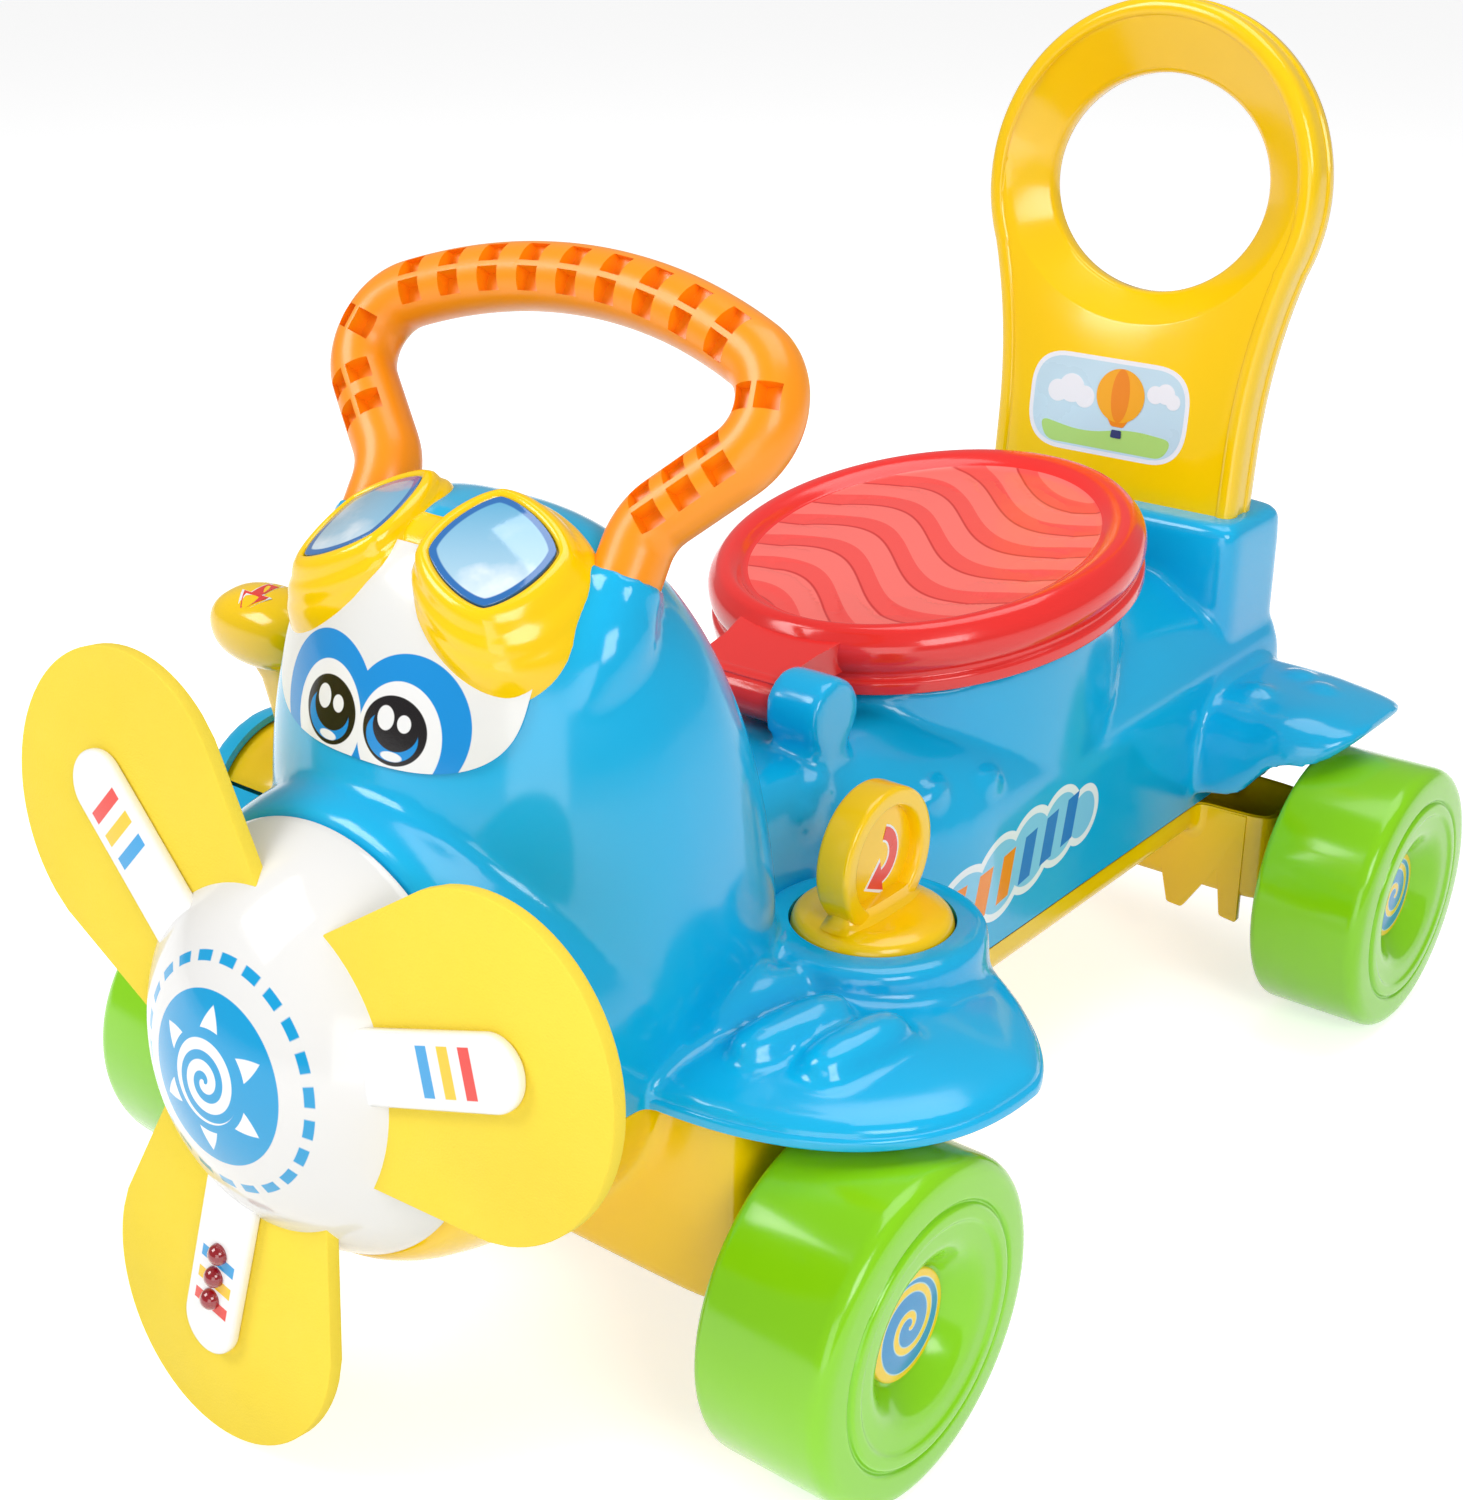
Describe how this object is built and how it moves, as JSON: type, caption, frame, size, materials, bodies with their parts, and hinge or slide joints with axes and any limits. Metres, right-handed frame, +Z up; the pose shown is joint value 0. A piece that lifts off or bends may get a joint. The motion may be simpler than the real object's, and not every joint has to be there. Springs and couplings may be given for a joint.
{
  "type": "ride on airplane toy",
  "caption": "Child's ride-on toy airplane with a seat lid over a storage tub, handlebar, backrest with grip hole, spinning propeller, turning key and gear lever",
  "frame": {"origin": "on the ground under the middle of the toy's outline", "axes": "+X to the toy's left, +Y to its tail, +Z up"},
  "size_m": [0.343, 0.567, 0.4187],
  "materials": {
    "blue": "gloss",
    "yellow": "gloss",
    "green": "gloss",
    "red": "satin",
    "orange": "satin",
    "white": "gloss",
    "foam": "matt foam",
    "lens": "gloss",
    "lamp": "gloss",
    "black": "matt",
    "board": "satin",
    "steel": "plain"
  },
  "bodies": {
    "frame": {"front_shell": "blue", "rear_shell": "blue", "belly_pan": "yellow", "eye_plate": "white", "goggles": "yellow", "goggle_lenses": "lens", "handlebar": "orange", "handlebar_screws": "steel", "seat_pin": "steel", "storage_tub": "blue", "backrest": "yellow", "backrest_screws": "steel", "propeller_bush": "white", "lever_pin": "steel", "front_axle": "steel", "rear_axle": "steel", "axle_spacers": "white", "axle_nuts": "steel", "body_screws": "steel", "battery_box": "black", "battery_cells": "black", "battery_door": "yellow", "battery_screw": "steel", "circuit_board": "board", "speaker": "black"},
    "seat": {"seat_lid": "red"},
    "propeller": {"spinner": "white", "blade_1": "foam", "blade_2": "foam", "blade_3": "foam", "lamp_lenses": "lamp", "blade_pins": "white", "propeller_shaft": "steel", "shaft_clip": "steel"},
    "key": {"key_knob": "yellow", "key_clip": "steel"},
    "lever": {"lever": "yellow"},
    "front_left_wheel": {"front_left_wheel": "green", "front_left_cap": "yellow"},
    "front_right_wheel": {"front_right_wheel": "green", "front_right_cap": "yellow"},
    "rear_left_wheel": {"rear_left_wheel": "green", "rear_left_cap": "yellow"},
    "rear_right_wheel": {"rear_right_wheel": "green", "rear_right_cap": "yellow"}
  },
  "joints": [
    {"name": "seat_hinge", "type": "hinge", "parent": "frame", "child": "seat", "pos_m": [0, -0.03, 0.194], "axis": [1, 0, 0], "range_deg": [0, 80]},
    {"name": "propeller_spin", "type": "hinge", "parent": "frame", "child": "propeller", "pos_m": [0, -0.26459, 0.147], "axis": [0, -0.9932, 0.1167], "continuous": true},
    {"name": "key_turn", "type": "hinge", "parent": "frame", "child": "key", "pos_m": [0.091, -0.073, 0.129], "axis": [0, 0, 1], "range_deg": [-90, 90]},
    {"name": "lever_swing", "type": "hinge", "parent": "frame", "child": "lever", "pos_m": [-0.122, -0.13, 0.145], "axis": [1, 0, 0], "range_deg": [-32, 14]},
    {"name": "front_left_wheel_spin", "type": "hinge", "parent": "frame", "child": "front_left_wheel", "pos_m": [0, -0.149, 0.058], "axis": [1, 0, 0], "continuous": true},
    {"name": "front_right_wheel_spin", "type": "hinge", "parent": "frame", "child": "front_right_wheel", "pos_m": [0, -0.149, 0.058], "axis": [1, 0, 0], "continuous": true},
    {"name": "rear_left_wheel_spin", "type": "hinge", "parent": "frame", "child": "rear_left_wheel", "pos_m": [0, 0.225, 0.058], "axis": [1, 0, 0], "continuous": true},
    {"name": "rear_right_wheel_spin", "type": "hinge", "parent": "frame", "child": "rear_right_wheel", "pos_m": [0, 0.225, 0.058], "axis": [1, 0, 0], "continuous": true}
  ]
}
